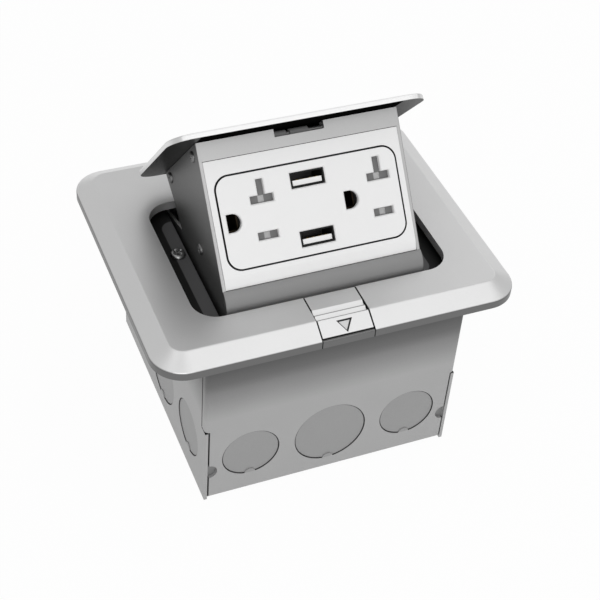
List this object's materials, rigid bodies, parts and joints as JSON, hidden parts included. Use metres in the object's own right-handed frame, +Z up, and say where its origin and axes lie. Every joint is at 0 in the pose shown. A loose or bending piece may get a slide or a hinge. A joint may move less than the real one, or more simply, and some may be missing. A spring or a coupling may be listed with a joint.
{
  "type": "pop-up floor socket box",
  "caption": "Floor socket box with a bevelled cover plate, a hinged lid that carries a socket and USB face, a sliding latch and a sheet-metal back box with knockouts.",
  "frame": {"origin": "centre of the back box's underside", "axes": "+Z up out of the floor, -Y towards the latch, +X to the right of someone who faces the sockets"},
  "size_m": [0.136, 0.1138, 0.1332],
  "materials": {
    "satin_metal": "satin",
    "dark_frame": "matt",
    "zinc_sheet": "galvanised",
    "plated_steel": "zinc plated",
    "shell_metal": "satin",
    "spring_steel": "bright",
    "green_screw": "satin",
    "bush_plastic": "matt",
    "white_plastic": "satin",
    "housing_plastic": "matt",
    "shutter_plastic": "matt",
    "brass_contact": "bright",
    "port_steel": "bright",
    "board": "matt"
  },
  "bodies": {
    "base": {"cover_plate": "satin_metal", "inner_frame": "dark_frame", "box_shell": "zinc_sheet", "box_side_left": "zinc_sheet", "box_side_right": "zinc_sheet", "cover_screws": "plated_steel", "mounting_screws": "plated_steel", "mounting_nuts": "plated_steel", "hinge_pin": "plated_steel", "pin_clip": "plated_steel", "torsion_springs": "spring_steel", "latch_springs": "spring_steel", "ground_screw": "green_screw"},
    "carriage": {"lid": "satin_metal", "lid_screws": "plated_steel", "carriage_shell": "shell_metal", "hinge_bushes": "bush_plastic", "side_screws": "plated_steel", "strike_pin": "plated_steel", "strike_sleeves": "bush_plastic", "face_frame": "white_plastic", "receptacle_face": "white_plastic", "receptacle_body": "housing_plastic", "neutral_contacts": "brass_contact", "hot_contacts": "brass_contact", "neutral_screws": "port_steel", "hot_screws": "brass_contact", "ground_contacts": "brass_contact", "ground_strap": "plated_steel", "strap_screw": "green_screw", "usb_shells": "port_steel", "usb_tongues": "white_plastic", "usb_board": "board", "shutter_springs": "spring_steel"},
    "latch": {"latch_slider": "satin_metal", "latch_retainer": "zinc_sheet", "latch_screw": "plated_steel", "catch_spring": "spring_steel"},
    "shutter_left": {"shutter_left": "shutter_plastic"},
    "shutter_right": {"shutter_right": "shutter_plastic"}
  },
  "joints": [
    {"name": "carriage_tilt", "type": "hinge", "parent": "base", "child": "carriage", "pos_m": [0, 0.0392, 0.0698], "axis": [1, 0, 0], "range_deg": [0, 48], "stiffness_Nm_per_rad": 0.25, "springref_deg": -34.38, "deforming": ["torsion_springs"]},
    {"name": "latch_slide", "type": "slide", "parent": "base", "child": "latch", "axis": [0, -1, 0], "range_m": [0, 0.003], "stiffness_N_per_m": 200, "springref_m": -0.005, "deforming": ["latch_springs"]},
    {"name": "shutter_left_slide", "type": "slide", "parent": "carriage", "child": "shutter_left", "axis": [0, 0.6108, 0.7918], "range_m": [0, 0.003], "stiffness_N_per_m": 20, "springref_m": -0.004, "deforming": ["shutter_springs"]},
    {"name": "shutter_right_slide", "type": "slide", "parent": "carriage", "child": "shutter_right", "axis": [0, 0.6108, 0.7918], "range_m": [0, 0.003], "stiffness_N_per_m": 20, "springref_m": -0.004, "deforming": ["shutter_springs"]}
  ]
}
